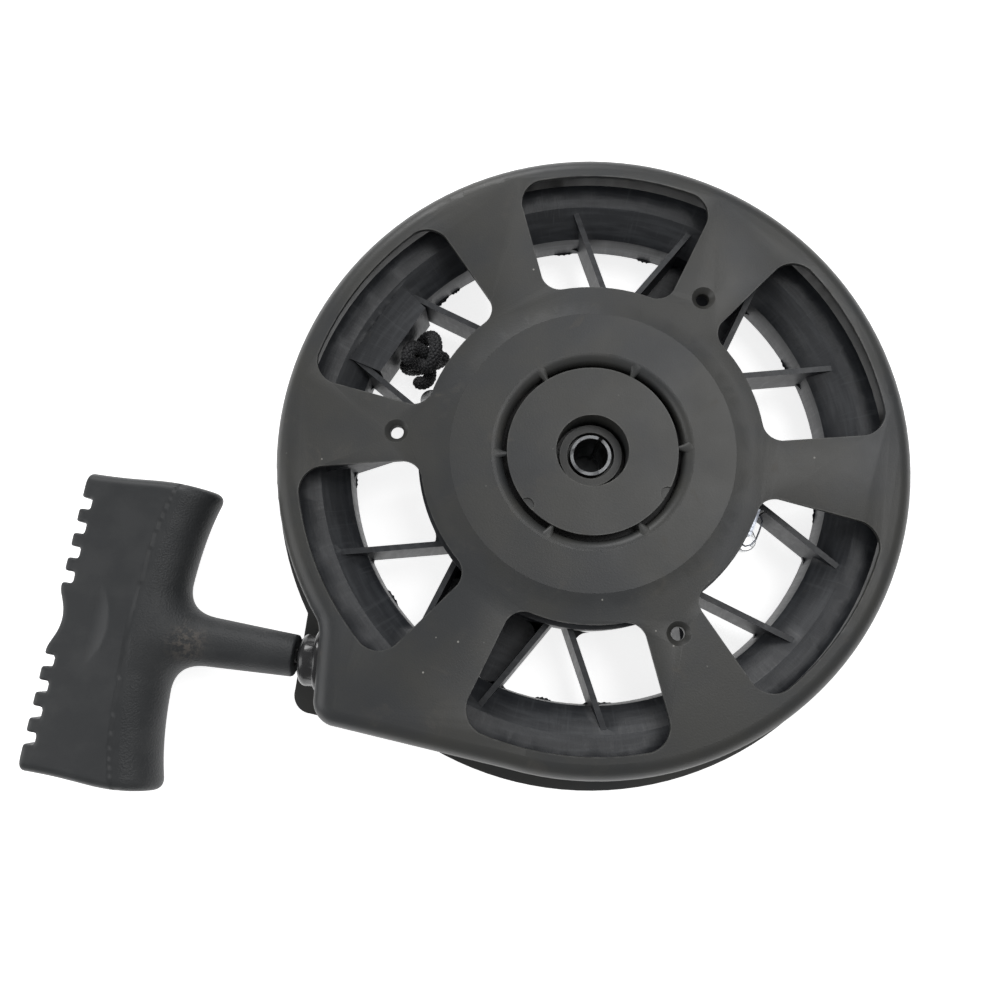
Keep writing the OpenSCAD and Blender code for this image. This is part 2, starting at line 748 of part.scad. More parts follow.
module handle_washer() {
    color(zinc) in_handle() translate([pocket_s + 0.05, 0, 0]) rotate([0, 90, 0])
        ring(pocket_r - 0.4, rope_r + 0.3, 0, 1.2, $fn = 48);
}

module handle_knot() {
    color(rope_black) in_handle() translate([pocket_s + 1.4, 0, 0]) rotate([0, 90, 0])
        knot(6.2, 12, 12);
}

housing_shell();
mounting_ears();
centre_leg();
centre_backing_plate();
spring_pin();
push_nut();
rope_eyelet();
rope_lead();
upper_thrust_washer();
pulley();
pulley_bushing();
rewind_spring();
spring_cover();
dog_springs();
rope_coil();
rope_knot();
starter_dog_a();
starter_dog_b();
retainer();
brake_spring();
lower_thrust_washer();
handle_grip();
handle_washer();
handle_knot();
rope_tail();
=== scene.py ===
"""Recoil starter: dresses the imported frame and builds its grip, rope, knots and crimps."""

import logging
import math
from dataclasses import dataclass, field
from enum import Enum
from typing import Callable, Sequence, Union

import bpy
import numpy as np
from mathutils import Matrix, Quaternion, Vector


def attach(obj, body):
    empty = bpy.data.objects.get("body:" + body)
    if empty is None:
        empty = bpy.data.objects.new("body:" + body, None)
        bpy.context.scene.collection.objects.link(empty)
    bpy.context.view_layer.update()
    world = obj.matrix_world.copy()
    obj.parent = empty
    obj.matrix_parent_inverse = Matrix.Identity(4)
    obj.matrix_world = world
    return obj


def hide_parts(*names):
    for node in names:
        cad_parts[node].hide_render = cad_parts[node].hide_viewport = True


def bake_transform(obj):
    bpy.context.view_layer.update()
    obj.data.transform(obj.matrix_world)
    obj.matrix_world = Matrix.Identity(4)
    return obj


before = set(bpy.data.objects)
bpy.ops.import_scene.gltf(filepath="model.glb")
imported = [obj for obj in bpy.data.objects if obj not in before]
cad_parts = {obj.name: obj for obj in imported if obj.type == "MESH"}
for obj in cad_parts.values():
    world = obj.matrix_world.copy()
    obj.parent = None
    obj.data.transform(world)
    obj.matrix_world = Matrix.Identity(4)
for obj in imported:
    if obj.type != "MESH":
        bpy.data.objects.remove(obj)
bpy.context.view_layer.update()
MM = 0.001
LOG = logging.getLogger("recoil_starter")
Array = np.ndarray
Operand = Union["Field", float]


class Slot(Enum):
    """The record's material slots; the pulley's details list one each, but the script gives none to a
    piece.
    """

    COVER = "cover_paint"
    SPRING = "spring_steel"
    PULLEY = "pulley_plastic"
    GRIP = "grip_plastic"
    ROPE = "rope_braid"


# ---------------------------------------------------------------- shader maths


class Field:
    """A socket in a material, so that shader maths reads as an expression."""

    def __init__(self, graph: "Graph", socket: bpy.types.NodeSocket) -> None:
        """Keeps the graph and the output socket."""
        self.graph, self.socket = graph, socket

    def _maths(self, operation: str, first: Operand, second: Operand = 0.0) -> "Field":
        """A Math node on two values."""
        return self.graph.field("ShaderNodeMath", {"operation": operation}, {0: first, 1: second})

    def __add__(self, other: Operand) -> "Field":
        """self + other"""
        return self._maths("ADD", self, other)

    __radd__ = __add__

    def __sub__(self, other: Operand) -> "Field":
        """self - other"""
        return self._maths("SUBTRACT", self, other)

    def __rsub__(self, other: Operand) -> "Field":
        """other - self"""
        return self._maths("SUBTRACT", other, self)

    def __mul__(self, other: Operand) -> "Field":
        """self * other"""
        return self._maths("MULTIPLY", self, other)

    __rmul__ = __mul__

    def __truediv__(self, other: Operand) -> "Field":
        """self / other"""
        return self._maths("DIVIDE", self, other)

    def __pow__(self, other: Operand) -> "Field":
        """self ** other"""
        return self._maths("POWER", self, other)

    def sin(self) -> "Field":
        """The sine."""
        return self._maths("SINE", self)

    def bearing(self, across: "Field") -> "Field":
        """The angle of (across, self), in radians."""
        return self._maths("ARCTAN2", self, across)

    def between(self, low: float, high: float) -> "Field":
        """A smooth step from 0 at low to 1 at high.

        Args:
            low: the value where the step starts.
            high: the value where it ends; below low, the step falls.
        Returns:
            The step, from 0 to 1.
        """
        inputs = {"Value": self, "From Min": low, "From Max": high, "To Min": 0.0, "To Max": 1.0}
        return self.graph.field("ShaderNodeMapRange", {"interpolation_type": "SMOOTHSTEP"}, inputs)


class Graph:
    """One material's nodes, added one way."""

    def __init__(self, name: str) -> None:
        """Makes a material with a Principled shader."""
        self.material = bpy.data.materials.new(name)
        self.material.use_nodes = True
        self.tree = self.material.node_tree
        self.shader = self.tree.nodes["Principled BSDF"]

    def add(self, kind: str, settings: dict, inputs: dict) -> bpy.types.Node:
        """Adds a node.

        Args:
            kind: the node's type.
            settings: attributes set first; "stops" is a ramp's list of (place, colour).
            inputs: socket names or numbers to values, Fields or sockets.
        Returns:
            The node.
        """
        node = self.tree.nodes.new(kind)
        for key, value in settings.items():
            if key != "stops":
                setattr(node, key, value)
                continue
            ramp = node.color_ramp.elements
            for _ in value[2:]:
                ramp.new(0.5)
            for element, (place, colour) in zip(ramp, value):
                element.position = place
                element.color = (*colour, 1.0)
        for key, value in inputs.items():
            if isinstance(value, Field):
                self.tree.links.new(value.socket, node.inputs[key])
            else:
                node.inputs[key].default_value = value
        return node

    def field(self, kind: str, settings: dict, inputs: dict, output: Union[int, str] = 0) -> Field:
        """The same, giving one output as a Field."""
        return Field(self, self.add(kind, settings, inputs).outputs[output])

    def place(self) -> Field:
        """The point on the piece, in metres in its own frame."""
        return self.field("ShaderNodeTexCoord", {}, {}, "Object")

    def parts(self, point: Field) -> tuple[Field, Field, Field]:
        """A vector's x, y and z."""
        node = self.add("ShaderNodeSeparateXYZ", {}, {0: point})
        return tuple(Field(self, node.outputs[i]) for i in range(3))

    def vector(self, x: Operand, y: Operand, z: Operand) -> Field:
        """A vector from three values."""
        return self.field("ShaderNodeCombineXYZ", {}, {0: x, 1: y, 2: z})

    def noise(self, point: Field, scale: float, detail: float = 3.0, rough: float = 0.55,
              warp: float = 0.0) -> Field:
        """Noise about 0.5; scale is per metre."""
        inputs = {"Vector": point, "Scale": scale, "Detail": detail, "Roughness": rough,
                  "Distortion": warp}
        return self.field("ShaderNodeTexNoise", {}, inputs, 0)

    def cells(self, point: Field, scale: float, feature: str = "F1") -> Field:
        """The distance to the nearest of a scatter of points; scale is per metre."""
        return self.field("ShaderNodeTexVoronoi", {"feature": feature},
                          {"Vector": point, "Scale": scale}, "Distance")

    def mix(self, share: Operand, first: Union[Field, Sequence[float]],
            second: Union[Field, Sequence[float]]) -> Field:
        """Two colours mixed."""
        colours = [c if isinstance(c, Field) else (*c, 1.0) for c in (first, second)]
        return self.field("ShaderNodeMix", {"data_type": "RGBA"},
                          {0: share, 6: colours[0], 7: colours[1]}, 2)

    def edges(self, radius: float) -> Field:
        """How near a point is to a convex or concave edge, from 0 to about 1."""
        bevel = self.field("ShaderNodeBevel", {"samples": 4}, {"Radius": radius})
        true = self.field("ShaderNodeNewGeometry", {}, {}, "Normal")
        dot = self.field("ShaderNodeVectorMath", {"operation": "DOT_PRODUCT"}, {0: bevel, 1: true},
                         "Value")
        return (1.0 - dot).between(0.01, 0.25)

    def finish(self, colour: Field, rough: Union[Field, float], metal: float = 0.0,
               bumps: Sequence[tuple[Field, float, float]] = (), **constants: float) -> bpy.types.Material:
        """Links the shader.

        Args:
            colour: the base colour.
            rough: the roughness.
            metal: the metallic share.
            bumps: (height, strength, distance in metres) for each bump, the finest last.
            constants: other sockets' values, with _ for a space in their names.
        Returns:
            The material.
        """
        self.tree.links.new(colour.socket, self.shader.inputs["Base Color"])
        if isinstance(rough, Field):
            self.tree.links.new(rough.socket, self.shader.inputs["Roughness"])
        else:
            self.shader.inputs["Roughness"].default_value = rough
        self.shader.inputs["Metallic"].default_value = metal
        for key, value in constants.items():
            self.shader.inputs[key.replace("_", " ")].default_value = value
        normal = None
        for height, strength, distance in bumps:
            inputs = {"Height": height, "Strength": strength, "Distance": distance}
            if normal is not None:
                inputs["Normal"] = normal
            normal = self.field("ShaderNodeBump", {}, inputs)
        if normal is not None:
            self.tree.links.new(normal.socket, self.shader.inputs["Normal"])
        return self.material


# ------------------------------------------------------------------- finishes

Colour = tuple[float, float, float]


@dataclass(frozen=True)
class SatinPaint:
    """Satin black paint on pressed steel: faint mottling, rubbed edges, pinhead chips and smudges."""

    name: str
    base: Colour = (0.040, 0.040, 0.037)
    cool: Colour = (0.031, 0.033, 0.035)
    rubbed: Colour = (0.125, 0.125, 0.118)
    chip: Colour = (0.42, 0.41, 0.38)
    smudge: Colour = (0.082, 0.074, 0.062)
    gloss: float = 0.43

    def build(self) -> bpy.types.Material:
        """The material."""
        g = Graph(self.name)
        p = g.place()
        cloud = g.noise(p, 34.0, 4.0).between(0.36, 0.66)
        colour = g.mix(cloud, self.base, self.cool)
        film = g.noise(p, 90.0, 5.0, 0.62, 0.8).between(0.58, 0.80)
        colour = g.mix(film * 0.45, colour, self.smudge)
        edge = g.edges(0.0011) * g.noise(p, 260.0, 3.0).between(0.34, 0.62)
        colour = g.mix(edge * 0.75, colour, self.rubbed)
        specks = g.cells(p, 120.0).between(0.055, 0.025) * g.noise(p, 22.0).between(0.52, 0.60)
        colour = g.mix(specks * 0.7, colour, self.chip)
        rough = self.gloss + (g.noise(p, 60.0, 4.0) - 0.5) * 0.16 + film * 0.10 - edge * 0.06
        peel = g.noise(p, 1500.0, 2.0)
        wave = g.noise(p, 38.0, 1.0)
        return g.finish(colour, rough, bumps=[(wave, 0.35, 0.0010), (peel, 0.14, 0.00025)],
                        Specular_IOR_Level=0.52)


@dataclass(frozen=True)
class MouldedNylon:
    """Filled black nylon: flow lines round the axis, drag lines, pale scuffs and a dusty film."""

    name: str
    base: Colour = (0.019, 0.021, 0.025)
    pale: Colour = (0.052, 0.056, 0.062)
    dust: Colour = (0.115, 0.098, 0.078)
    gloss: float = 0.44

    def build(self) -> bpy.types.Material:
        """The material."""
        g = Graph(self.name)
        p = g.place()
        x, y, z = g.parts(p)
        reach = (x * x + y * y) ** 0.5
        turn = y.bearing(x)
        rings = g.noise(g.vector(reach * 520.0, turn * 5.0, z * 520.0), 1.0, 4.0)
        drag = g.noise(g.vector(reach * 60.0, turn * 60.0, z * 60.0), 1.0, 4.0, 0.6, 1.2)
        colour = g.mix(rings.between(0.40, 0.70) * 0.55, self.base, self.pale)
        colour = g.mix(drag.between(0.52, 0.74) * 0.5, colour, self.pale)
        edge = g.edges(0.0008) * g.noise(p, 500.0, 3.0).between(0.30, 0.60)
        colour = g.mix(edge * 0.6, colour, self.pale)
        settled = g.noise(p, 150.0, 5.0, 0.7, 0.6).between(0.60, 0.82)
        colour = g.mix(settled * 0.30, colour, self.dust)
        rough = self.gloss + (drag - 0.5) * 0.28 + settled * 0.12
        fine = g.noise(p, 2600.0, 2.0)
        return g.finish(colour, rough,
                        bumps=[(rings, 0.30, 0.00018), (drag, 0.15, 0.0003), (fine, 0.12, 0.00012)])


@dataclass(frozen=True)
class GripNylon:
    """The grip's nylon: fine grain on the finger side and neck, a smooth satin back face, scuffs."""

    name: str
    base: Colour = (0.022, 0.024, 0.026)
    pale: Colour = (0.060, 0.061, 0.062)
    scuff: Colour = (0.105, 0.092, 0.080)

    def build(self, grain_from: Callable[[Field, Field], Field],
              scuffed: Callable[[Graph, Field], Field], local: Callable[[Graph, Field], Field]
              ) -> bpy.types.Material:
        """The material.

        Args:
            grain_from: gives the grain's share from the along and across places.
            scuffed: gives the scuff's share at a point.
            local: turns a point into the grip's own along, across and up.
        Returns:
            The material.
        """
        g = Graph(self.name)
        p = g.place()
        own = local(g, p)
        along, across, _ = g.parts(own)
        grain = grain_from(along, across)
        mottle = g.noise(p, 80.0, 4.0).between(0.38, 0.68)
        colour = g.mix(mottle * 0.25, self.base, self.pale)
        mark = scuffed(g, own) * g.noise(p, 420.0, 4.0, 0.7).between(0.42, 0.60)
        colour = g.mix(mark * 0.75, colour, self.scuff)
        edge = g.edges(0.0009) * g.noise(p, 300.0, 3.0).between(0.35, 0.65)
        colour = g.mix(edge * 0.55, colour, self.pale)
        leather = g.cells(p, 1500.0)
        rough = 0.47 + grain * 0.05 + (g.noise(p, 50.0, 3.0) - 0.5) * 0.14
        fine = g.noise(p, 2200.0, 2.0)
        return g.finish(colour, rough, bumps=[(leather * grain, 0.55, 0.00022), (fine, 0.15, 0.00012),
                                              (g.noise(p, 900.0, 4.0) * mark, 0.5, 0.0004)])


@dataclass(frozen=True)
class PlatedSteel:
    """Zinc plate or spring steel: brushed lines and dull patches."""

    name: str
    base: Colour = (0.62, 0.63, 0.64)
    dull: Colour = (0.36, 0.36, 0.36)
    gloss: float = 0.32

    def build(self) -> bpy.types.Material:
        """The material."""
        g = Graph(self.name)
        p = g.place()
        x, y, z = g.parts(p)
        lines = g.noise(g.vector(x * 90.0, y * 1900.0, z * 900.0), 1.0, 3.0)
        patch = g.noise(p, 140.0, 5.0, 0.65, 0.5).between(0.45, 0.72)
        colour = g.mix(patch * 0.7, self.base, self.dull)
        rough = self.gloss + patch * 0.22 + (lines - 0.5) * 0.18
        return g.finish(colour, rough, metal=1.0,
                        bumps=[(lines, 0.18, 0.0001), (g.noise(p, 700.0, 3.0), 0.08, 0.0002)])


@dataclass(frozen=True)
class SmoothPlastic:
    """A plain moulded plastic with a soft mottle and light handling marks."""

    name: str
    base: Colour
    pale: Colour
    gloss: float
    coat: float = 0.0

    def build(self) -> bpy.types.Material:
        """The material."""
        g = Graph(self.name)
        p = g.place()
        mottle = g.noise(p, 160.0, 4.0).between(0.40, 0.72)
        colour = g.mix(mottle * 0.4 + g.edges(0.0006) * 0.4, self.base, self.pale)
        rough = self.gloss + (g.noise(p, 240.0, 4.0) - 0.5) * 0.2
        return g.finish(colour, rough, bumps=[(g.noise(p, 1300.0, 2.0), 0.10, 0.00015)],
                        Coat_Weight=self.coat, Coat_Roughness=0.18)


@dataclass(frozen=True)
class BraidedYarn:
    """Black braided polyester: fine filaments with a soft sheen, a little lint, and painted shade in the
    plait's grooves where its strands aren't modelled.
    """

    name: str
    base: Colour = (0.010, 0.010, 0.012)
    pale: Colour = (0.045, 0.047, 0.052)

    def build(self, braid: Union[Callable[[Graph, Field], Field], None] = None) -> bpy.types.Material:
        """The material.

        Args:
            braid: gives the plait's height for a rope whose strands aren't modelled; it shapes the bump and
                darkens the grooves as painted shade.
        Returns:
            The material.
        """
        g = Graph(self.name)
        p = g.place()
        hairs = g.noise(p, 3800.0, 3.0, 0.6, 1.5)
        colour = g.mix(hairs.between(0.45, 0.75) * 0.55, self.base, self.pale)
        colour = g.mix(g.noise(p, 300.0, 4.0).between(0.58, 0.78) * 0.35, colour, self.pale)
        bumps = [(hairs, 0.45, 0.00012)]
        if braid is not None:
            plait = braid(g, p)
            # painted shade: the plait's low grooves are darkened towards the base colour
            colour = g.mix((1.0 - plait) * 0.6, colour, self.base)
            bumps.insert(0, (plait, 0.9, 0.0005))
        return g.finish(colour, 0.58, bumps=bumps, Sheen_Weight=0.22, Sheen_Roughness=0.4)


# --------------------------------------------------------------- mesh helpers


def smooth_object(name: str, points: Array, faces: Sequence[Sequence[int]]) -> bpy.types.Object:
    """A shaded-smooth mesh object from points in metres.

    Args:
        name: the piece's name.
        points: N x 3 corners.
        faces: corner numbers of each face.
    Returns:
        The object, linked to the scene.
    """
    mesh = bpy.data.meshes.new(name)
    mesh.from_pydata([tuple(p) for p in points], [], [tuple(f) for f in faces])
    mesh.validate()
    mesh.polygons.foreach_set("use_smooth", [True] * len(mesh.polygons))
    made = bpy.data.objects.new(name, mesh)
    bpy.context.scene.collection.objects.link(made)
    return made


def dress(piece: bpy.types.Object, material: bpy.types.Material) -> None:
    """Gives a piece one material."""
    piece.data.materials.clear()
    piece.data.materials.append(material)


def frames_along(path: Array) -> tuple[Array, Array, Array]:
    """Tangents, sides and ups that don't twist along a path.

    Args:
        path: N x 3 points.
    Returns:
        Three N x 3 arrays of unit vectors.
    """
    tangents = np.gradient(path, axis=0)
    tangents /= np.linalg.norm(tangents, axis=1)[:, None]
    start = np.cross(tangents[0], [0.0, 0.0, 1.0])
    if np.linalg.norm(start) < 0.1:
        start = np.cross(tangents[0], [1.0, 0.0, 0.0])
    sides = [start / np.linalg.norm(start)]
    for t in tangents[1:]:
        side = sides[-1] - t * (sides[-1] @ t)
        sides.append(side / np.linalg.norm(side))
    sides = np.array(sides)
    return tangents, sides, np.cross(tangents, sides)


def resample(path: Array, step: float) -> Array:
    """The same path with even spacing, along its straight segments.

    Args:
        path: N x 3 points.
        step: the spacing wanted, in metres.
    Returns:
        M x 3 points.
    """
    lengths = np.concatenate([[0.0], np.cumsum(np.linalg.norm(np.diff(path, axis=0), axis=1))])
    count = max(int(lengths[-1] / step), 4)
    at = np.linspace(0.0, lengths[-1], count)
    return np.stack([np.interp(at, lengths, path[:, k]) for k in range(3)], axis=1)


def tube_mesh(path: Array, radius: Union[float, Array], sides: int, squash: float = 1.0,
              first: int = 0) -> tuple[Array, list[tuple[int, ...]]]:
    """A closed tube along a path.

    Args:
        path: N x 3 points.
        radius: one radius, or one for each point.
        sides: corners round the tube.
        squash: the share of the radius kept along the frame's up.
        first: the number of the tube's first corner.
    Returns:
        Its corners and faces.
    """
    _, side, up = frames_along(path)
    radii = np.broadcast_to(radius, len(path))[:, None]
    turns = np.linspace(0.0, 2 * math.pi, sides, endpoint=False)
    rings = [path + radii * (side * math.cos(a) + up * math.sin(a) * squash) for a in turns]
    points = np.stack(rings, axis=1).reshape(-1, 3)
    faces = [(first + i * sides + k, first + i * sides + (k + 1) % sides,
              first + (i + 1) * sides + (k + 1) % sides, first + (i + 1) * sides + k)
             for i in range(len(path) - 1) for k in range(sides)]
    faces.append(tuple(first + k for k in reversed(range(sides))))
    faces.append(tuple(first + (len(path) - 1) * sides + k for k in range(sides)))
    return points, faces


def net_of(distance: Callable[[Array], Array], low: Array, high: Array, step: float
           ) -> tuple[Array, list[tuple[int, ...]]]:
    """The surface where a distance field is zero, as even quads settled onto it.

    Args:
        distance: gives the signed distance at N x 3 points.
        low: the box's lowest corner.
        high: its highest corner.
        step: the size of a quad.
    Returns:
        Corners and faces.
    """
    counts = np.ceil((high - low) / step).astype(int) + 1
    axes = [low[k] + step * np.arange(counts[k]) for k in range(3)]
    grid = np.stack(np.meshgrid(*axes, indexing="ij"), axis=-1)
    value = distance(grid.reshape(-1, 3)).reshape(counts)
    inside = value < 0
    corners = [(i, j, k) for i in (0, 1) for j in (0, 1) for k in (0, 1)]
    held = sum(inside[tuple(slice(o, o + c - 1) for o, c in zip(corner, counts))].astype(int)
               for corner in corners)
    active = (held > 0) & (held < 8)
    number = np.full(active.shape, -1)
    cells = np.argwhere(active)
    number[active] = np.arange(len(cells))
    points = low + step * (cells + 0.5)
    nudge = step * 0.02
    for _ in range(6):
        here = distance(points)
        slope = np.stack([distance(points + nudge * np.eye(3)[k]) - here for k in range(3)], axis=1)
        slope /= nudge
        size = np.maximum((slope ** 2).sum(1), 0.25)
        move = slope * (here / size)[:, None]
        points = points - np.clip(move, -step * 0.4, step * 0.4)
    faces = []
    for axis in range(3):
        u, v = [k for k in range(3) if k != axis]
        a = inside[tuple(slice(0, -1) if k == axis else slice(1, -1) for k in range(3))]
        b = inside[tuple(slice(1, None) if k == axis else slice(1, -1) for k in range(3))]
        crossing = np.argwhere(a != b)
        if not len(crossing):
            continue
        base = crossing.copy()
        base[:, u] += 1
        base[:, v] += 1
        loop = []
        for du, dv in ((0, 0), (1, 0), (1, 1), (0, 1)):
            at = base.copy()
            at[:, u] -= du
            at[:, v] -= dv
            loop.append(number[tuple(at.T)])
        quads = np.stack(loop, axis=1)
        flip = a[tuple(crossing.T)] ^ (axis == 1)
        quads[flip] = quads[flip][:, ::-1]
        faces += [tuple(q) for q in quads if (q >= 0).all()]
    return points, faces


def blend_min(first: Array, second: Array, radius: float) -> Array:
    """Two distance fields joined with a fillet."""
    share = np.clip(0.5 + 0.5 * (second - first) / radius, 0.0, 1.0)
    return second * (1 - share) + first * share - radius * share * (1 - share)


def blend_max(first: Array, second: Array, radius: float) -> Array:
    """The overlap of two distance fields, with a rounded edge."""
    return -blend_min(-first, -second, radius)


# --------------------------------------------------------------- metal nodes


@dataclass
class CadDress:
    """Softens the edges of the CAD pieces and gives each its finish."""

    angle: float = math.radians(20)
    weld: float = 2e-6

    def soften(self, node: str, width: float, segments: int = 3) -> None:
        """Merges a node's face meshes and rolls its sharp edges.

        Args:
            node: the CAD node.
            width: how wide the rolled edge is, in metres.
            segments: facets across it.
        """
        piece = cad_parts[node]
        joined = piece.modifiers.new("join", "WELD")
        joined.merge_threshold = self.weld
        flat = piece.modifiers.new("flat", "DECIMATE")
        flat.decimate_type = "DISSOLVE"
        flat.angle_limit = math.radians(0.4)
        roll = piece.modifiers.new("roll", "BEVEL")
        roll.width = width
        roll.segments = segments
        roll.limit_method = "ANGLE"
        roll.angle_limit = self.angle
        roll.harden_normals = True
        roll.miter_outer = "MITER_ARC"

    def finish(self, nodes: Sequence[str], material: bpy.types.Material, width: float,
               segments: int = 3) -> None:
        """Dresses several nodes alike."""
        for node in nodes:
            dress(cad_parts[node], material)
            self.soften(node, width, segments)
            LOG.info("dressed %s", node)


# ------------------------------------------------------------------ the cover


@dataclass
class Cover:
    """The pressed cover's rolled middle: pinches that hold the centre disc."""

    disc_r: float = 30.0 * MM
    roll_r: float = 35.6 * MM
    top: float = 43.2 * MM
    count: int = 6
    first: float = math.radians(4.7)
    lap: float = 0.3 * MM
    crown_drop: float = 1.15 * MM
    crown_rise: float = 1.10 * MM
    neck_w: float = 0.80
    flare_w: float = 2.6
    half_thick: float = 0.75

    def pinch(self, turn: float) -> tuple[Array, list[tuple[int, ...]]]:
        """One saddle from the roll down to the disc, flared at both ends.

        Args:
            turn: its angle round the axis.
        Returns:
            Corners and faces.
        """
        steps = np.linspace(0.0, 1.0, 17)
        reach = self.disc_r - self.lap + steps * (self.roll_r - self.disc_r)
        crown = self.top - self.crown_drop + self.crown_rise * np.sin(steps * math.pi / 2) ** 1.5
        wide = (self.neck_w + self.flare_w * steps ** 1.7) * MM
        points, faces = [], []
        ring = np.linspace(0.0, 2 * math.pi, 20, endpoint=False)
        for r, z, w in zip(reach, crown, wide):
            for a in ring:
                across, drop = w * math.cos(a), (math.sin(a) - 1.0) * self.half_thick * MM
                points.append((r, across, z + drop))
        sides = len(ring)
        for i in range(len(steps) - 1):
            faces += [(i * sides + k, i * sides + (k + 1) % sides, (i + 1) * sides + (k + 1) % sides,
                       (i + 1) * sides + k) for k in range(sides)]
        faces += [tuple(reversed(range(sides))),
                  tuple((len(steps) - 1) * sides + k for k in range(sides))]
        spin = np.array(Matrix.Rotation(turn, 3, "Z"))
        return np.array(points) @ spin.T, faces

    def build(self, material: bpy.types.Material) -> None:
        """Makes the pinches and rides them on the housing."""
        points, faces = [], []
        for k in range(self.count):
            some, rows = self.pinch(self.first + k * 2 * math.pi / self.count)
            first = sum(len(p) for p in points)
            points.append(some)
            faces += [tuple(first + c for c in row) for row in rows]
        piece = smooth_object("crimp_pinches", np.vstack(points), faces)
        dress(piece, material)
        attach(piece, "housing")
        LOG.info("built %s", piece.name)


# ----------------------------------------------------------------- the pulley


@dataclass
class PulleyDetail:
    """Small moulded and bent parts of the pulley: corner webs, flash and the anchor's wire."""

    hub_r: float = 62.0
    ring_r: float = 88.4
    ribs: int = 8
    first: float = 82.0
    rib_offset: float = 26.52
    lean: float = 29.2
    low_z: float = 12.4
    web_t: float = 1.6
    hub_open_r: float = 5.0
    hub_tight_r: float = 2.2
    ring_open_r: float = 6.5
    ring_tight_r: float = 3.6
    flash_low: float = 10.2
    flash_top: float = 10.6
    wire_r: float = 0.30 * MM

    def rib_turn(self, pair: float, hand: int, radius: float) -> float:
        """The angle, in degrees, at which a rib's middle crosses a radius."""
        swing = self.lean - math.degrees(math.asin(self.rib_offset / radius))
        return pair + hand * swing

    def corner(self, turn: float, side: int, radius: float, inward: int, heading: float,
               size: float) -> list[tuple[float, float]]:
        """The plan of one filled corner between a rib and the hub or ring.

        Args:
            turn: the corner's angle, in degrees.
            side: +1 where the open bay lies at greater angles.
            radius: the hub's or the ring's radius, in millimetres.
            inward: +1 where the open bay lies farther out.
            heading: the rib's direction out from the hub, in degrees.
            size: the fillet's radius, in millimetres.
        Returns:
            Its outline.
        """
        a, h = math.radians(turn), math.radians(heading)
        tip = np.array([radius * math.cos(a), radius * math.sin(a)])
        along = inward * np.array([math.cos(h), math.sin(h)])
        round_way = side * np.array([-math.sin(a), math.cos(a)])
        opening = math.acos(float(np.clip(along @ round_way, -1, 1)))
        reach = size / math.tan(opening / 2)
        middle = (along + round_way) / np.linalg.norm(along + round_way)
        centre = tip + middle * (size / math.sin(opening / 2))
        start, end = tip + along * reach, tip + round_way * reach
        from_a = math.atan2(*(start - centre)[::-1])
        sweep = (math.atan2(*(end - centre)[::-1]) - from_a + math.pi) % (2 * math.pi) - math.pi
        arc = [centre + size * np.array([math.cos(from_a + sweep * t), math.sin(from_a + sweep * t)])
               for t in np.linspace(0, 1, 9)]
        back = tip - middle * 0.8
        return [tuple(back), *[tuple(p) for p in arc]]

    def plate(self, outline: Sequence[tuple[float, float]], low: float, high: float, first: int
              ) -> tuple[Array, list[tuple[int, ...]]]:
        """A flat plate over an outline.

        Args:
            outline: its corners, in millimetres.
            low: its underside's height.
            high: its top's height.
            first: the number of its first corner.
        Returns:
            Corners in metres, and faces.
        """
        area = sum(a[0] * b[1] - b[0] * a[1] for a, b in zip(outline, [*outline[1:], outline[0]]))
        if area < 0:
            outline = list(reversed(outline))
        count = len(outline)
        points = [(x * MM, y * MM, z * MM) for z in (low, high) for x, y in outline]
        faces = [tuple(first + k for k in reversed(range(count))),
                 tuple(first + count + k for k in range(count))]
        faces += [(first + k, first + (k + 1) % count, first + count + (k + 1) % count,
                   first + count + k) for k in range(count)]
        return np.array(points), faces

    def webs(self) -> bpy.types.Object:
        """The filled corners of every bay."""
        points, faces = [], []
        count = 0
        for k in range(self.ribs):
            pair = self.first + 45.0 * k
            for hand in (1, -1):
                heading = pair + hand * self.lean
                inner = self.rib_turn(pair, hand, self.hub_r)
                outer = self.rib_turn(pair, hand, self.ring_r)
                for turn, side, radius, inward, size in (
                        (inner, hand, self.hub_r, 1, self.hub_open_r),
                        (inner, -hand, self.hub_r, 1, self.hub_tight_r),
                        (outer, hand, self.ring_r, -1, self.ring_open_r),
                        (outer, -hand, self.ring_r, -1, self.ring_tight_r)):
                    shape = self.corner(turn, side, radius, inward, heading, size)
                    some, rows = self.plate(shape, self.low_z, self.low_z + self.web_t, count)
                    points.append(some)
                    faces += rows
                    count += len(some)
        piece = smooth_object("pulley_corner_webs", np.vstack(points), faces)
        piece.data.polygons.foreach_set("use_smooth", [False] * len(piece.data.polygons))
        return piece

    def flash(self) -> bpy.types.Object:
        """The torn flash along the ring's lower inner edge, in short uneven runs."""
        points, faces = [], []
        count = 0
        for turn, span, deep in ((133.0, 6.0, 1.3), (128.0, 3.0, 0.9), (98.0, 5.0, 0.8), (77.0, 4.0, 1.0),
                                 (30.0, 5.0, 0.9), (352.0, 6.0, 0.8), (276.0, 5.0, 0.7), (262.0, 4.0, 1.0),
                                 (217.0, 5.0, 0.9), (186.0, 4.0, 0.7)):
            steps = np.linspace(0, 1, 12)
            ragged = deep * np.sin(steps * math.pi) ** 0.6 * (0.72 + 0.28 * np.sin(steps * 23.0 + turn))
            outer = [(self.ring_r + 0.4, turn + span * (t - 0.5)) for t in steps]
            inner = [(self.ring_r - r, turn + span * (t - 0.5)) for t, r in zip(steps, ragged)]
            shape = [(r * math.cos(math.radians(a)), r * math.sin(math.radians(a)))
                     for r, a in outer + inner[::-1]]
            some, rows = self.plate(shape, self.flash_low, self.flash_top, count)
            points.append(some)
            faces += rows
            count += len(some)
        return smooth_object("pulley_flash", np.vstack(points), faces)

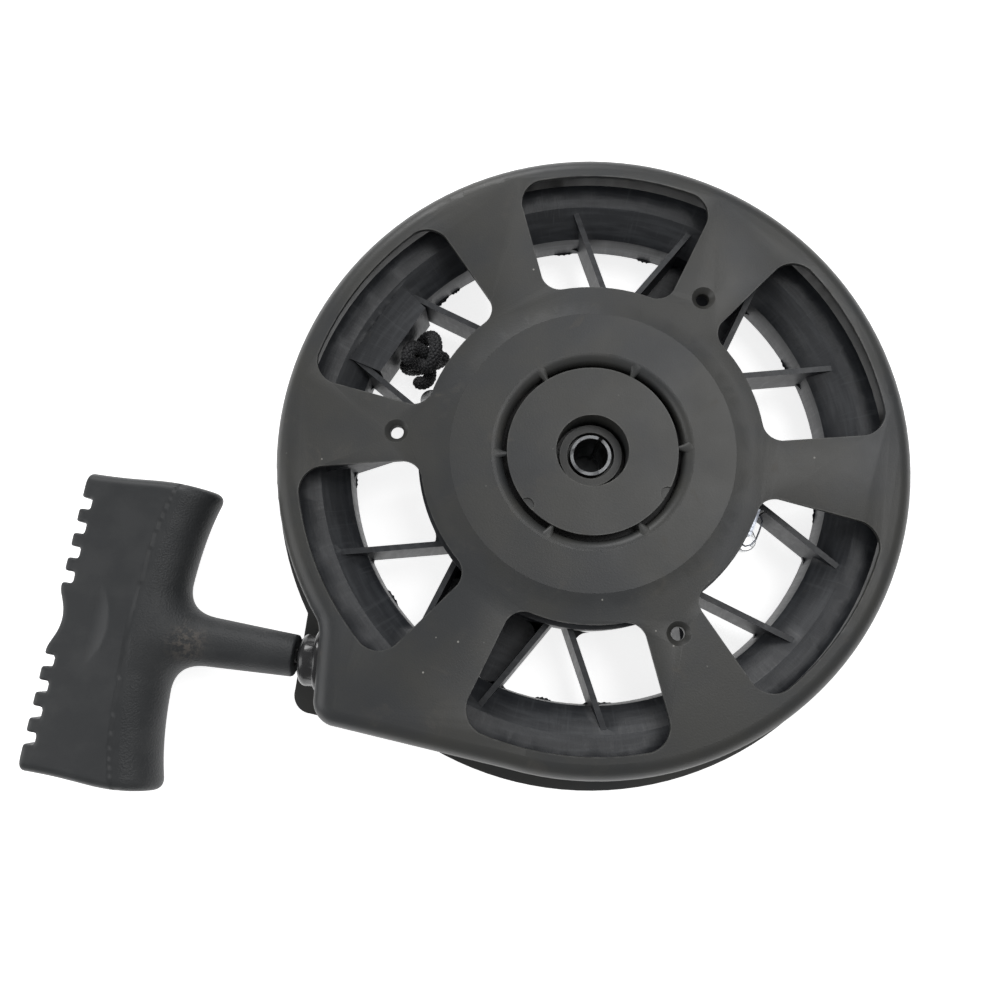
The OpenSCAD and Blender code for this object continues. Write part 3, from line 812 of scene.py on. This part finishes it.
    def anchor_wire(self) -> bpy.types.Object:
        """The wire looped through the spring's hook outside the cup."""
        marks = [(62.6, -27.4, 30.0), (63.6, -27.6, 30.6), (65.0, -26.4, 30.8), (65.8, -24.2, 30.6),
                 (65.9, -21.0, 29.6), (66.0, -17.6, 28.6), (65.2, -15.8, 27.0), (64.6, -15.6, 23.0)]
        path = np.array([(r * math.cos(math.radians(a)), r * math.sin(math.radians(a)), z)
                         for r, a, z in marks]) * MM
        return smooth_object("anchor_wire", *tube_mesh(resample(path, 0.4 * MM), self.wire_r, 10))

    def build(self, nylon: bpy.types.Material, steel: bpy.types.Material) -> None:
        """Makes the details and rides them on the pulley."""
        made = [(self.webs(), nylon, Slot.PULLEY), (self.flash(), nylon, Slot.PULLEY),
                (self.anchor_wire(), steel, Slot.SPRING)]
        for piece, material, slot in made:
            dress(piece, material)
            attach(piece, "pulley")
            LOG.info("built %s", piece.name)


# ----------------------------------------------------------------- the handle


@dataclass
class Handle:
    """The moulded T-handle: a grip with a notched back, a raised face and a tapering neck."""

    neck_end: Vector = field(default_factory=lambda: Vector((-102.6, -76.6, 19.8)) * MM)
    heading: float = math.radians(174)
    half: float = 53.5
    thick: float = 26.0
    back: float = 85.3
    neck_r: float = 7.55
    neck_root_r: float = 9.1
    step: float = 0.7
    tooth_first: float = 14.9
    tooth_pitch: float = 8.95
    notch_w: float = 4.1
    notch_depth: float = 4.2
    rope_bore: float = 3.0
    pocket_s: float = 68.0
    pocket_r: float = 8.0
    face_s: float = 55.6
    face_bow: float = 6.6
    front_s: float = 43.6
    front_drop: float = 5.6
    nose_r: float = 13.5
    face_lift: float = 0.55
    end_lift: float = 1.4
    end_lift_s: float = 54.0
    end_lift_w: float = 15.0
    end_draft: float = 0.035
    flare_r: float = 11.0
    scallop_s: float = 11.0
    scallop_r: float = 14.0

    def to_row(self) -> Matrix:
        """Turns the handle's own millimetres, along, across and up, into the row frame."""
        return (Matrix.Translation(self.neck_end) @ Matrix.Rotation(self.heading, 4, "Z")
                @ Matrix.Scale(MM, 4))

    def front(self, q: Array) -> Array:
        """Where the finger side lies at a distance across."""
        return self.front_s - self.front_drop * (np.abs(q) / self.half) ** 3.2

    def face_line(self, q: Array) -> Array:
        """Where the raised back face starts."""
        return self.face_s - self.face_bow * (q / self.half) ** 2

    def distance(self, p: Array) -> Array:
        """The signed distance to the handle's surface, in its own millimetres."""
        s, q, z = p[:, 0], p[:, 1], p[:, 2]
        side = np.abs(q)
        half_t = self.thick / 2
        raised = 1.0 / (1.0 + np.exp(-(s - self.face_line(q)) / 0.28))
        front = self.front(q)
        # the finger side is a full round that runs out into the flat faces
        deep = np.clip(front + self.nose_r - s, 0.0, None)
        flat = np.abs(z) - (half_t - self.face_lift + self.face_lift * raised)
        squeeze = self.nose_r / (half_t - self.face_lift)
        nose = np.sqrt(deep ** 2 + (z * squeeze) ** 2) - self.nose_r
        body = np.where(deep > 0, np.maximum(nose * 0.9, flat), flat)
        lift = self.end_lift * np.exp(-((s - self.end_lift_s) / self.end_lift_w) ** 2)
        ends = side - (self.half + lift - self.end_draft * np.abs(z))
        body = blend_max(body, ends, 4.2)
        body = blend_max(body, s - self.back, 1.9)
        # the neck and its flare into the grip
        radius = np.hypot(q, z)
        taper = self.neck_r + (self.neck_root_r - self.neck_r) * np.clip(s / 36.0, 0, 1.2)
        neck = blend_max(radius - taper, -s, 0.9)
        neck = np.maximum(neck, s - 60.0)
        whole = blend_min(body, neck, self.flare_r)
        # back notches, the middle scallop, the rope's bore and the knot's pocket
        for k in range(4):
            middle = self.tooth_first + self.tooth_pitch * k
            notch = blend_max(np.abs(side - middle) - self.notch_w / 2,
                              self.back - self.notch_depth - s, 1.2)
            whole = blend_max(whole, -notch, 0.9)
        scallop = np.hypot(s - (self.back + self.scallop_s), q) - self.scallop_r
        whole = blend_max(whole, -scallop, 2.2)
        whole = blend_max(whole, self.rope_bore - radius, 0.8)
        pocket = blend_max(radius - self.pocket_r, self.pocket_s - s, 0.6)
        return blend_max(whole, -pocket, 0.7)

    def local(self, g: Graph, p: Field) -> Field:
        """A point in the handle's own metres, for its material."""
        turned = {"rotation_type": "Z_AXIS", "invert": True}
        moved = g.field("ShaderNodeVectorMath", {"operation": "SUBTRACT"},
                        {0: p, 1: tuple(self.neck_end)})
        return g.field("ShaderNodeVectorRotate", turned, {"Vector": moved, "Angle": self.heading})

    def grain(self, along: Field, across: Field) -> Field:
        """The grain's share: full on the finger side, none on the raised face."""
        half = self.half * MM
        line = self.face_s * MM - self.face_bow * MM * (across / half) ** 2.0
        return (along - line).between(0.0006, -0.0006)

    def scuff(self, g: Graph, own: Field) -> Field:
        """The rubbed patch where the neck meets the grip."""
        away = g.field("ShaderNodeVectorMath", {"operation": "DISTANCE"},
                       {0: own, 1: (0.0375, 0.001, 0.0085)}, "Value")
        return away.between(0.010, 0.001)

    def build(self, finish: GripNylon) -> None:
        """Makes the grip and rides it on the handle body."""
        low = np.array([-1.5, -self.half - 4, -self.thick / 2 - 2])
        high = np.array([self.back + 2, self.half + 4, self.thick / 2 + 2])
        points, faces = net_of(self.distance, low, high, self.step * (1.0))
        row = np.array(self.to_row())
        piece = smooth_object("handle_grip_moulding", points @ row[:3, :3].T + row[:3, 3], faces)
        dress(piece, finish.build(self.grain, self.scuff, self.local))
        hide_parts("handle_grip")
        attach(piece, "handle")
        LOG.info("built %s", piece.name)


# ------------------------------------------------------------------- the rope


@dataclass
class Rope:
    """The starter rope: its winding, its way out to the grip, and both stopper knots."""

    handle: Handle
    diameter: float = 4.8 * MM
    wind_r: float = 92.4 * MM
    hole_turn: float = math.radians(149.5)
    hole_z: float = 18.4 * MM
    foot_turn: float = math.radians(260.07)
    out_z: float = 19.8 * MM
    low_z: float = 14.2 * MM
    eyelet: Vector = field(default_factory=lambda: Vector((-91.5, -77.8, 19.8)) * MM)
    strands: int = 8
    pitch: float = 15.0 * MM
    weave_depth: float = 0.42 * MM
    strand_inset: float = 0.55 * MM
    strand_w: float = 0.80 * MM
    strand_t: float = 0.40 * MM

    def plait_along(self, heading: Vector, origin: Vector) -> Callable[[Graph, Field], Field]:
        """The plait's height on a straight rope.

        Args:
            heading: the rope's direction.
            origin: a point on its axis.
        Returns:
            A function of a graph and a point.
        """
        side = heading.cross(Vector((0, 0, 1))).normalized()

        def height(g: Graph, p: Field) -> Field:
            """The height at a point."""
            def part(axis: Vector) -> Field:
                """A point's place along an axis."""
                own = g.field("ShaderNodeVectorMath", {"operation": "SUBTRACT"}, {0: p, 1: tuple(origin)})
                return g.field("ShaderNodeVectorMath", {"operation": "DOT_PRODUCT"},
                               {0: own, 1: tuple(axis)}, "Value")
            turn = part(Vector((0, 0, 1))).bearing(part(side)) * float(self.strands)
            run = part(heading) * (2 * math.pi * self.strands / self.pitch)
            return ((turn + run).sin() * (turn - run).sin() + 1.0) * 0.5
        return height

    def plait_round(self, g: Graph, p: Field) -> Field:
        """The plait's height on the winding."""
        x, y, z = g.parts(p)
        reach = (x * x + y * y) ** 0.5
        run = y.bearing(x) * (self.wind_r * 2 * math.pi * self.strands / self.pitch)
        turn = (reach + z) * (2 * math.pi / (0.42 * self.diameter))
        other = (reach - z) * (2 * math.pi / (0.42 * self.diameter))
        return ((turn + run).sin() * (other - run).sin() + 1.0) * 0.5

    def braided(self, path: Array, name: str, material: bpy.types.Material) -> bpy.types.Object:
        """A rope with every strand of its plait modelled.

        Args:
            path: the rope's middle line.
            name: the piece's name.
            material: its yarn.
        Returns:
            The piece.
        """
        per_turn = 6 * self.strands
        step = self.pitch / per_turn
        line = resample(path, step)
        _, side, up = frames_along(line)
        run = np.arange(len(line)) * step
        middle_r = self.diameter / 2 - self.strand_inset
        taper = np.clip(np.minimum(run, run[-1] - run) / (1.6 * MM), 0.0, 1.0) ** 0.5
        points, faces = [], []
        count = 0
        for hand in (1, -1):
            for k in range(self.strands):
                turn = hand * 2 * math.pi * run / self.pitch + 2 * math.pi * k / self.strands
                lift = hand * np.cos(self.strands * turn) * self.weave_depth
                radius = ((middle_r + lift) * (0.35 + 0.65 * taper))[:, None]
                out = side * np.cos(turn)[:, None] + up * np.sin(turn)[:, None]
                strand = line + out * radius
                way = np.gradient(strand, axis=0)
                way /= np.linalg.norm(way, axis=1)[:, None]
                wide = np.cross(way, out)
                corners = np.linspace(0, 2 * math.pi, 6, endpoint=False)
                rings = [strand + wide * (math.cos(a) * self.strand_w) + out * (math.sin(a) * self.strand_t)
                         for a in corners]
                ring = np.stack(rings, axis=1).reshape(-1, 3)
                n = len(corners)
                faces += [(count + i * n + c, count + i * n + (c + 1) % n,
                           count + (i + 1) * n + (c + 1) % n, count + (i + 1) * n + c)
                          for i in range(len(strand) - 1) for c in range(n)]
                faces.append(tuple(count + c for c in reversed(range(n))))
                faces.append(tuple(count + (len(strand) - 1) * n + c for c in range(n)))
                points.append(ring)
                count += len(ring)
        core, core_faces = tube_mesh(line, middle_r - 0.25 * MM, 10, first=count)
        points.append(core)
        faces += core_faces
        piece = smooth_object(name, np.vstack(points), faces)
        dress(piece, material)
        return piece

    def knot_line(self, tight: float) -> Array:
        """An overhand knot's middle line, drawn up tight, with its axis along X and both ends on it.

        Args:
            tight: the spacing of its strands in rope diameters.
        Returns:
            N x 3 points in metres about the knot's middle.
        """
        t = np.linspace(0.17, 2 * math.pi - 0.17, 220)
        big, small = 1.0, 0.52
        loop = np.stack([small * np.sin(3 * t) * 1.6,
                         (big + small * np.cos(3 * t)) * np.cos(2 * t),
                         (big + small * np.cos(3 * t)) * np.sin(2 * t)], axis=1)
        apart = np.linalg.norm(loop[:, None] - loop[None], axis=2)
        index = np.arange(len(loop))
        far = np.abs(index[:, None] - index[None]) > 26
        return loop * (tight * self.diameter / apart[far].min())

    def way_out(self) -> Array:
        """The rope's middle line from the winding through the eyelet into the grip's pocket."""
        foot = Vector((math.cos(self.foot_turn) * self.wind_r, math.sin(self.foot_turn) * self.wind_r,
                       self.out_z))
        heading = Vector((math.cos(self.handle.heading), math.sin(self.handle.heading), 0.0))
        neck = self.handle.neck_end
        marks = [foot, foot.lerp(self.eyelet, 0.5), foot.lerp(self.eyelet, 0.93)]
        marks += [self.eyelet.lerp(neck, 0.45), neck - heading * 2.0 * MM]
        marks += [neck + heading * (d * MM) for d in (4.0, 20.0, 50.0, 68.0, 70.5)]
        return np.array([tuple(m) for m in marks])

    def winding(self) -> Array:
        """The middle line of the turns in the groove, from the knot's hole to where it leaves."""
        turns = 3 * 2 * math.pi + self.hole_turn - self.foot_turn
        t = np.linspace(0.0, 1.0, 420)
        turn = self.foot_turn + turns * (1 - t)
        reach = self.wind_r + 4.8 * MM * np.clip(np.minimum((t - 0.36) / 0.05, (0.72 - t) / 0.05), 0, 1)
        inner = np.clip(t / 0.02, 0, 1)
        reach = reach - (1 - inner) * 6.0 * MM
        drop = np.clip(np.minimum((t - 0.02) / 0.16, (0.98 - t) / 0.26), 0, 1)
        level = self.hole_z + (self.out_z - self.hole_z) * t
        level = level + (self.low_z - level) * drop
        return np.stack([reach * np.cos(turn), reach * np.sin(turn), level], axis=1)

    def build(self, yarn: BraidedYarn) -> None:
        """Makes the winding, the way out and both knots."""
        wound = smooth_object("rope_winding", *tube_mesh(self.winding(), self.diameter / 2, 12))
        dress(wound, BraidedYarn("rope_braid_wound").build(self.plait_round))
        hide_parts("rope_coil")
        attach(wound, "pulley")

        heading = Vector((math.cos(self.handle.heading), math.sin(self.handle.heading), 0.0))
        run = smooth_object("rope_run", *tube_mesh(resample(self.way_out(), 1.5 * MM),
                                                   self.diameter / 2, 16))
        dress(run, BraidedYarn("rope_braid_run").build(
            self.plait_along(heading, self.handle.neck_end)))
        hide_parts("rope_lead", "rope_tail")
        neck = self.handle.neck_end
        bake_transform(run)

        strands = yarn.build()
        knot = self.knot_line(1.04)
        spread = np.ptp(knot, axis=0)
        middle = Vector((math.cos(self.hole_turn), math.sin(self.hole_turn), 0.0))
        at = middle * (82.0 * MM - spread[0] / 2 - 2.4 * MM) + Vector((0, 0, self.hole_z))
        turned = Matrix.Rotation(self.hole_turn, 3, "Z") @ Matrix.Rotation(0.5, 3, "X")
        tied = self.braided(knot @ np.array(turned).T + np.array(at), "rope_stopper_knot", strands)
        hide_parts("rope_knot")
        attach(tied, "pulley")

        turned = Matrix.Rotation(self.handle.heading, 3, "Z")
        at = neck + heading * ((self.handle.pocket_s + 2.0) * MM + spread[0] / 2 * 0.85 + 2.0 * MM)
        small = knot * 0.80
        held = self.braided(small @ np.array(turned).T + np.array(at), "handle_stopper_knot", strands)
        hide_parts("handle_knot")
        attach(held, "handle")
        for piece in (wound, run, tied, held):
            LOG.info("built %s", piece.name)


# ------------------------------------------------------------------ the stage


@dataclass
class Studio:
    """A pale floor, soft lights and the camera."""

    camera_at: Vector = field(default_factory=lambda: Vector((-0.02353, -0.07167, 0.35099)))
    camera_aim: Vector = field(default_factory=lambda: Vector((-0.0314, -0.0192, 0.042)))
    roll: float = math.radians(-5.5)
    lens: float = 32.47
    floor_gap: float = 0.2 * MM
    floor_glow: float = 0.80
    world_glow: float = 0.34

    def floor(self) -> None:
        """A pale floor that hides nothing from below."""
        points = np.array([(-3, -3, 0), (3, -3, 0), (3, 3, 0), (-3, 3, 0)], float)
        points[:, 2] -= self.floor_gap
        piece = smooth_object("studio_floor", points, [(0, 1, 2, 3)])
        g = Graph("studio_floor")
        out = g.tree.nodes["Material Output"]
        g.shader.inputs["Base Color"].default_value = (0.86, 0.86, 0.86, 1)
        g.shader.inputs["Roughness"].default_value = 0.9
        g.shader.inputs["Emission Color"].default_value = (1, 1, 1, 1)
        g.shader.inputs["Emission Strength"].default_value = self.floor_glow
        clear = g.field("ShaderNodeBsdfTransparent", {}, {})
        behind = g.field("ShaderNodeNewGeometry", {}, {}, "Backfacing")
        both = g.field("ShaderNodeMixShader", {}, {0: behind, 1: Field(g, g.shader.outputs[0]), 2: clear})
        g.tree.links.new(both.socket, out.inputs["Surface"])
        dress(piece, g.material)

    def light(self, name: str, at: Sequence[float], size: tuple[float, float], power: float) -> None:
        """A soft box aimed at the object.

        Args:
            name: its name.
            at: its place, in metres.
            size: its width and height.
            power: its power, in watts.
        """
        lamp = bpy.data.lights.new(name, "AREA")
        lamp.shape = "RECTANGLE"
        lamp.size, lamp.size_y = size
        lamp.energy = power
        made = bpy.data.objects.new(name, lamp)
        made.location = at
        made.rotation_mode = "QUATERNION"
        made.rotation_quaternion = (Vector((0, 0, 0)) - Vector(at)).to_track_quat("-Z", "Y")
        bpy.context.scene.collection.objects.link(made)

    def camera(self) -> None:
        """The camera, near and almost square on to the cover."""
        lens = bpy.data.cameras.new("camera")
        lens.lens, lens.sensor_width = self.lens, 36.0
        lens.clip_start = 0.005
        made = bpy.data.objects.new("camera", lens)
        made.location = self.camera_at
        made.rotation_mode = "QUATERNION"
        level = (self.camera_aim - self.camera_at).to_track_quat("-Z", "Y")
        made.rotation_quaternion = level @ Quaternion((0, 0, 1), self.roll)
        bpy.context.scene.collection.objects.link(made)
        bpy.context.scene.camera = made

    def build(self) -> None:
        """Sets the stage."""
        self.camera()
        self.floor()
        self.light("key_box", (-0.35, 1.20, 0.80), (0.7, 0.5), 8.0)
        self.light("top_box", (0.34, 0.26, 1.10), (0.55, 0.50), 3.6)
        self.light("side_box", (-0.9, -0.2, 0.5), (0.5, 0.8), 2.4)
        world = bpy.data.worlds.new("studio")
        world.use_nodes = True
        back = world.node_tree.nodes["Background"]
        back.inputs["Color"].default_value = (1, 1, 1, 1)
        back.inputs["Strength"].default_value = self.world_glow
        bpy.context.scene.world = world
        bpy.context.scene.view_settings.view_transform = "Standard"


# ----------------------------------------------------------------------- main


def main() -> None:
    """Builds and dresses the starter, piece by piece."""
    logging.basicConfig(level=logging.INFO, format="%(message)s")
    Studio().build()
    paint = SatinPaint("cover_paint").build()
    dark_paint = SatinPaint("retainer_paint", base=(0.040, 0.040, 0.042), gloss=0.36).build()
    nylon = MouldedNylon("pulley_plastic").build()
    zinc = PlatedSteel("zinc_plate").build()
    spring = PlatedSteel("spring_steel", base=(0.34, 0.36, 0.40), dull=(0.14, 0.15, 0.18),
                         gloss=0.28).build()
    pin_steel_and_bore_shade = PlatedSteel("pin_steel_and_bore_shade", base=(0.17, 0.175, 0.18), dull=(0.06, 0.06, 0.065),
                            gloss=0.38).build()
    # painted shade: the centre backing plate is made near black so the gap round the centre disc reads as
    # deep shade
    shaded = SatinPaint("backing_plate_painted_shade", base=(0.010, 0.010, 0.010), cool=(0.008, 0.008, 0.009),
                        rubbed=(0.030, 0.030, 0.028), gloss=0.62).build()
    natural = SmoothPlastic("bushing_nylon", (0.78, 0.75, 0.66), (0.60, 0.56, 0.46), 0.42).build()
    glossy = SmoothPlastic("eyelet_plastic", (0.012, 0.012, 0.013), (0.040, 0.040, 0.042), 0.24,
                           coat=0.35).build()

    metal = CadDress()
    metal.finish(["housing_shell", "mounting_ears"], paint, 0.55 * MM)
    metal.finish(["centre_leg"], paint, 0.30 * MM)
    metal.finish(["centre_backing_plate"], shaded, 0.30 * MM)
    metal.finish(["retainer"], dark_paint, 0.30 * MM)
    metal.finish(["pulley"], nylon, 0.30 * MM, 2)
    metal.finish(["pulley_bushing"], natural, 0.30 * MM, 2)
    metal.finish(["rope_eyelet"], glossy, 0.25 * MM, 2)
    metal.finish(["spring_cover", "upper_thrust_washer",
                  "lower_thrust_washer", "handle_washer"], zinc, 0.15 * MM, 2)
    metal.finish(["starter_dog_a", "starter_dog_b"], zinc, 0.35 * MM)
    # partly painted shade: on the spring pin this dark steel is the pin's own tone; on the push nut at the
    # bottom of the pin's bore it is painted shade so the bore reads black
    metal.finish(["spring_pin", "push_nut"], pin_steel_and_bore_shade, 0.20 * MM, 2)
    for node in ("rewind_spring", "brake_spring", "dog_springs"):
        dress(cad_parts[node], spring)
    Cover().build(paint)
    PulleyDetail().build(nylon, spring)
    handle = Handle()
    handle.build(GripNylon("grip_plastic"))
    Rope(handle).build(BraidedYarn("rope_braid"))


if __name__ == "__main__":
    main()
